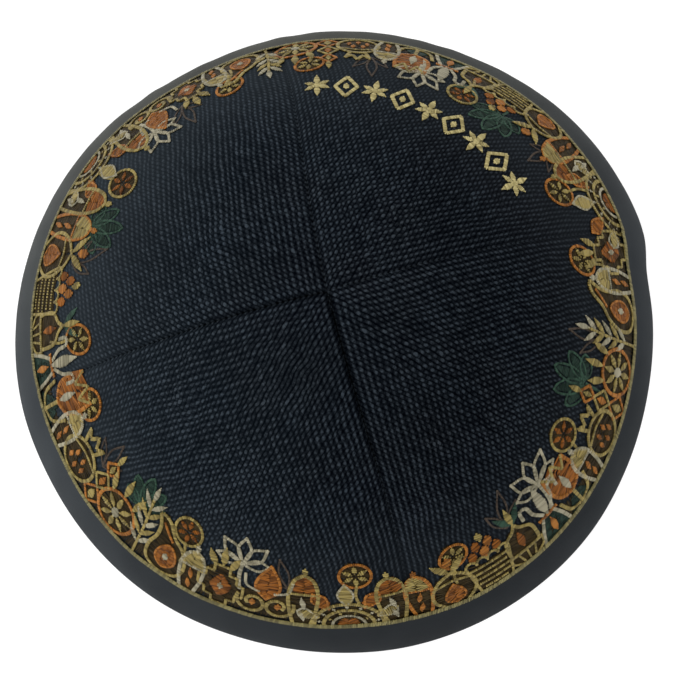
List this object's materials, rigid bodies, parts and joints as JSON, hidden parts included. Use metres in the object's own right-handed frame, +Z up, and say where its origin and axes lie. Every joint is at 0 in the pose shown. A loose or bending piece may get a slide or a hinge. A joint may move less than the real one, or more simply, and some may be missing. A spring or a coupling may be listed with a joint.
{
  "type": "kippah skullcap",
  "caption": "Round cloth skullcap: four woven gores sewn into a shallow dome, a folded tape binding the rim, and an embroidered border above it.",
  "frame": {"origin": "middle of the rim's box, on the plane that the rim rests on", "axes": "+Z up through the crown; the side seams run near +X and -X, the front and back seams near -Y and +Y"},
  "size_m": [0.1702, 0.1664, 0.0523],
  "materials": {
    "panel_cloth": "matt near-black navy plain weave with a coarse thread",
    "binding_tape": "smooth matt charcoal bias tape"
  },
  "bodies": {
    "root": {"panel_back_right": "panel_cloth", "panel_back_left": "panel_cloth", "panel_front_left": "panel_cloth", "panel_front_right": "panel_cloth", "rim_binding": "binding_tape"}
  },
  "joints": []
}
